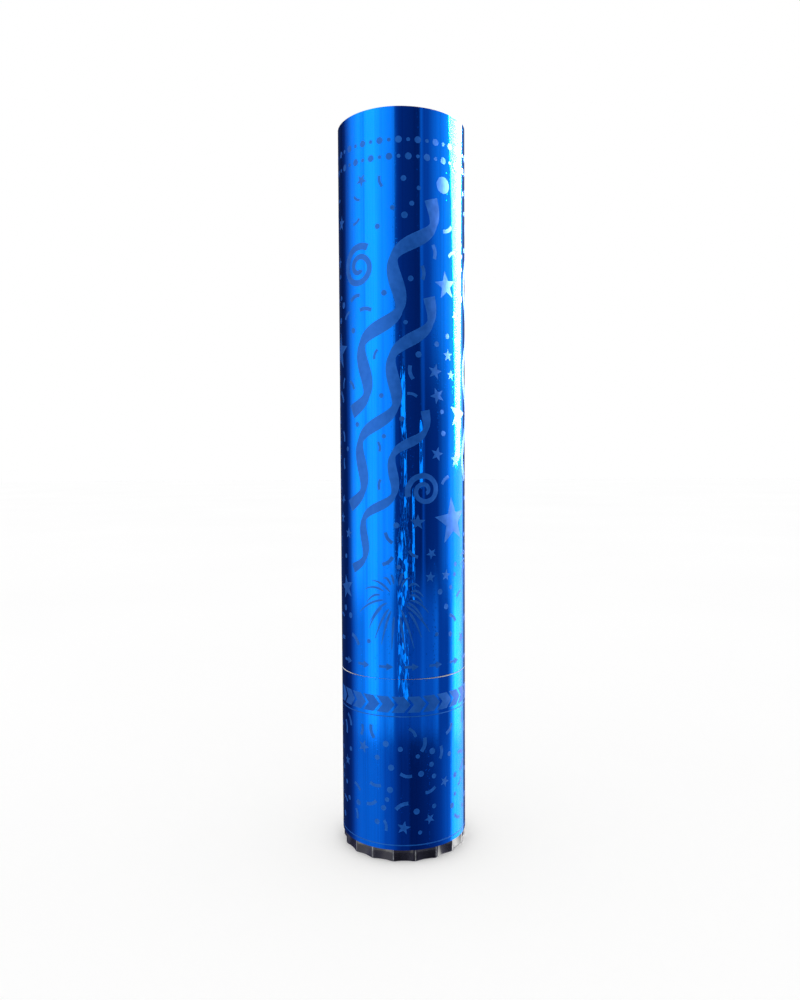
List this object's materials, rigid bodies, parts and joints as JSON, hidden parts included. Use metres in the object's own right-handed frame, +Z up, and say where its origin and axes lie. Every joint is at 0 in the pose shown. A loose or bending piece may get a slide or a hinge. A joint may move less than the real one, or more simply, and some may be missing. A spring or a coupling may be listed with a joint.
{
  "type": "confetti popper",
  "caption": "Hand-held air-driven confetti popper: a film-covered paper barrel that twists on a short handle to open a valve and shoot a wad and paper slips.",
  "frame": {"origin": "middle of the foot's underside, on the surface that the popper stands on", "axes": "+Z up the barrel to the muzzle, -Y towards the pictured front, +X to its right"},
  "size_m": [0.05, 0.0501, 0.283],
  "materials": {
    "blue_film": "metallised mirror film with matte print",
    "tube_paper": "wound grey paper",
    "black_plastic": "gloss moulded",
    "bottle_metal": "drawn, satin",
    "cup_metal": "tinned and pressed",
    "spring_steel": "drawn wire",
    "valve_brass": "turned",
    "valve_plastic": "natural moulded",
    "white_plastic": "moulded",
    "red_plastic": "moulded",
    "seal_rubber": "matte",
    "wad_card": "grey board",
    "wad_felt": "felt",
    "confetti_paper": "mixed tissue and foil slips",
    "disc_foil": "card faced with silver foil"
  },
  "bodies": {
    "handle": {"base_plug": "black_plastic", "handle_tube": "tube_paper", "handle_film": "blue_film", "air_bottle": "bottle_metal", "fill_plug": "seal_rubber", "valve_body": "valve_plastic", "valve_gasket": "seal_rubber", "valve_cup": "cup_metal", "valve_spring": "spring_steel", "bottle_carrier": "white_plastic", "air_seal": "seal_rubber", "retaining_ring": "spring_steel"},
    "barrel": {"barrel_tube": "tube_paper", "barrel_film": "blue_film", "barrel_collar": "white_plastic", "nozzle_plate": "white_plastic"},
    "plunger": {"firing_plunger": "red_plastic"},
    "poppet": {"valve_poppet": "valve_brass"},
    "wad": {"wad_disc": "wad_card", "wad_pad": "wad_felt"},
    "charge_low": {"confetti_low": "confetti_paper"},
    "charge_middle": {"confetti_middle": "confetti_paper"},
    "charge_top": {"confetti_top": "confetti_paper"},
    "lid": {"muzzle_disc": "disc_foil"}
  },
  "joints": [
    {"name": "barrel_twist", "type": "hinge", "parent": "handle", "child": "barrel", "pos_m": [0, 0, 0.0708], "axis": [0, 0, 1], "range_deg": [0, 60]},
    {"name": "plunger_slide", "type": "slide", "parent": "handle", "child": "plunger", "axis": [0, 0, -1], "range_m": [0, 0.003]},
    {"name": "poppet_slide", "type": "slide", "parent": "handle", "child": "poppet", "axis": [0, 0, -1], "range_m": [0, 0.003], "deforming": ["valve_spring"]},
    {"name": "wad_slide", "type": "slide", "parent": "barrel", "child": "wad", "axis": [0, 0, 1], "range_m": [0, 0.195]},
    {"name": "charge_low_slide", "type": "slide", "parent": "barrel", "child": "charge_low", "axis": [0, 0, 1], "range_m": [0, 0.205]},
    {"name": "charge_middle_slide", "type": "slide", "parent": "barrel", "child": "charge_middle", "axis": [0, 0, 1], "range_m": [0, 0.215]},
    {"name": "charge_top_slide", "type": "slide", "parent": "barrel", "child": "charge_top", "axis": [0, 0, 1], "range_m": [0, 0.225]},
    {"name": "lid_slide", "type": "slide", "parent": "barrel", "child": "lid", "axis": [0, 0, 1], "range_m": [0, 0.245]}
  ],
  "couplings": [
    {"joint": "plunger_slide", "follows": "barrel_twist", "m_per_rad": 0.0028648},
    {"joint": "poppet_slide", "follows": "barrel_twist", "m_per_rad": 0.0028648},
    {"joint": "charge_low_slide", "follows": "wad_slide", "ratio": 1.05},
    {"joint": "charge_middle_slide", "follows": "wad_slide", "ratio": 1.1},
    {"joint": "charge_top_slide", "follows": "wad_slide", "ratio": 1.15},
    {"joint": "lid_slide", "follows": "wad_slide", "ratio": 1.25}
  ]
}
